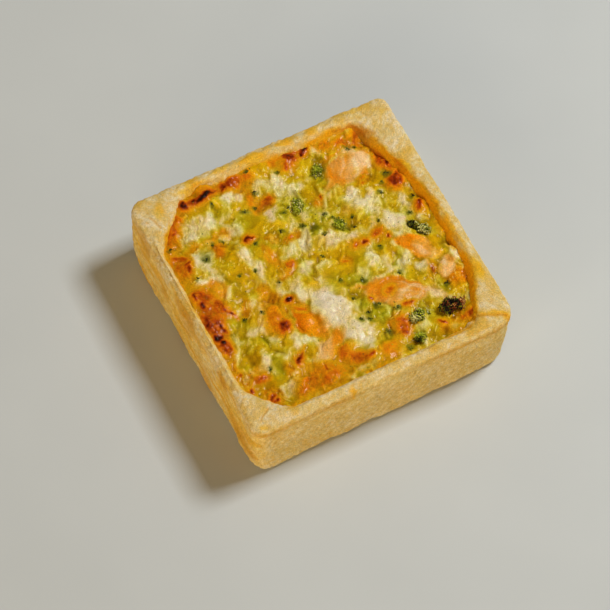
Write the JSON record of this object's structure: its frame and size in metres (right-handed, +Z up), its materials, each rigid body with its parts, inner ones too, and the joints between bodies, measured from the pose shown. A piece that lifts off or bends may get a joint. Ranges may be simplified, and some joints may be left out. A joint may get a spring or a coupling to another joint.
{
  "type": "salmon and broccoli mini quiche",
  "caption": "Square shortcrust mini quiche with a browned egg and cheese filling, flaked salmon pieces and broccoli florets set in its top.",
  "frame": {"origin": "middle of the flat base", "axes": "+Z up, out of the open top; +X towards the right side, +Y towards the far side"},
  "size_m": [0.0837, 0.084, 0.0248],
  "materials": {
    "pastry": "baked shortcrust pastry, dry and fine-grained",
    "filling": "set egg and melted cheese, browned in places, softly glossy",
    "salmon": "baked salmon flesh in moist flakes",
    "broccoli": "baked broccoli buds, partly charred"
  },
  "bodies": {
    "root": {"pastry": "pastry", "filling": "filling", "salmon_1": "salmon", "salmon_2": "salmon", "salmon_3": "salmon", "salmon_4": "salmon", "salmon_5": "salmon", "salmon_6": "salmon", "salmon_7": "salmon", "salmon_8": "salmon", "floret_1": "broccoli", "floret_2": "broccoli", "floret_3": "broccoli", "floret_4": "broccoli"}
  },
  "joints": []
}
